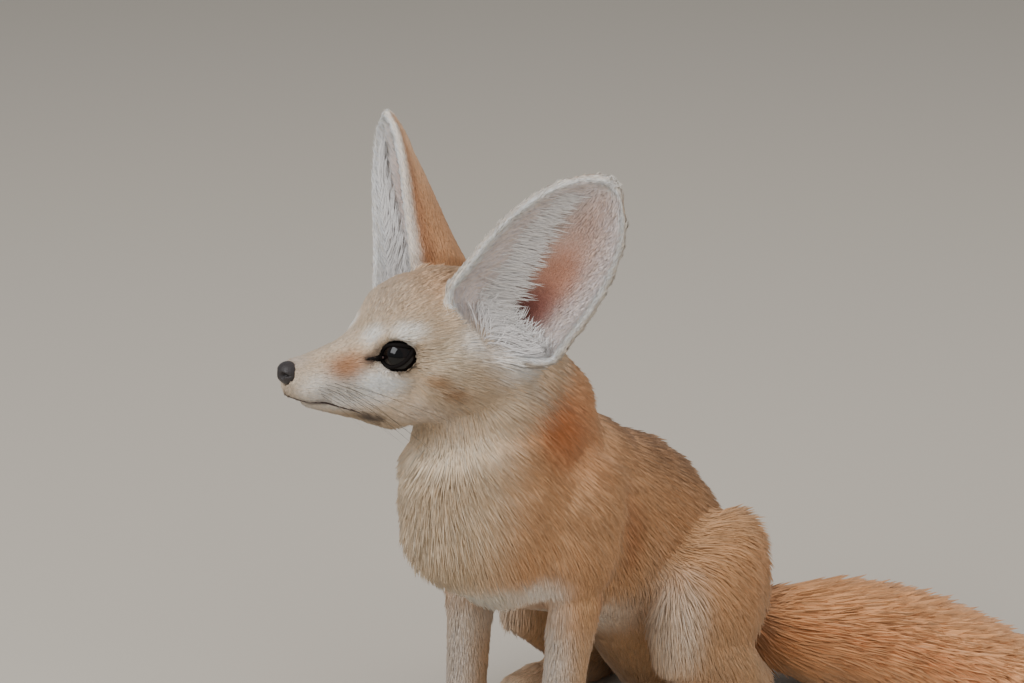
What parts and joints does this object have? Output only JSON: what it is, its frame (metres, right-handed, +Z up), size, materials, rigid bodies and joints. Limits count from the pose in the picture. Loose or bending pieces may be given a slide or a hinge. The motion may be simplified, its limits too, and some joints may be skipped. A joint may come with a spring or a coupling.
{
  "type": "fennec fox model",
  "caption": "Life-size still model of a sitting fennec fox with its head turned, large open ears and a bushy tail swept to its left.",
  "frame": {"origin": "on the floor under the middle of the bounding box", "axes": "+X towards the fox's left side, where the tail is swept; -Y the way its chest faces; +Z up"},
  "size_m": [0.305, 0.291, 0.2738],
  "materials": {
    "sand_fur": "dense soft fur, sandy orange",
    "cream_fur": "soft fur, ivory to cream",
    "tail_fur": "long rufous fur with a black tip",
    "eye": "wet, very dark brown",
    "nose_skin": "damp, black, finely grained",
    "claw_horn": "smooth dark horn"
  },
  "bodies": {
    "root": {"head": "sand_fur", "nose": "nose_skin", "eye_left": "eye", "eye_right": "eye", "ear_left": "cream_fur", "ear_right": "cream_fur", "neck": "cream_fur", "torso": "sand_fur", "foreleg_left": "cream_fur", "forepaw_left": "cream_fur", "hind_leg_left": "sand_fur", "hind_foot_left": "cream_fur", "foreleg_right": "cream_fur", "forepaw_right": "cream_fur", "hind_leg_right": "sand_fur", "hind_foot_right": "cream_fur", "tail": "tail_fur", "fore_claw_left_1": "claw_horn", "fore_claw_left_2": "claw_horn", "fore_claw_left_3": "claw_horn", "fore_claw_left_4": "claw_horn", "fore_claw_right_1": "claw_horn", "fore_claw_right_2": "claw_horn", "fore_claw_right_3": "claw_horn", "fore_claw_right_4": "claw_horn", "hind_claw_left_1": "claw_horn", "hind_claw_left_2": "claw_horn", "hind_claw_left_3": "claw_horn", "hind_claw_left_4": "claw_horn", "hind_claw_right_1": "claw_horn", "hind_claw_right_2": "claw_horn", "hind_claw_right_3": "claw_horn", "hind_claw_right_4": "claw_horn"}
  },
  "joints": []
}
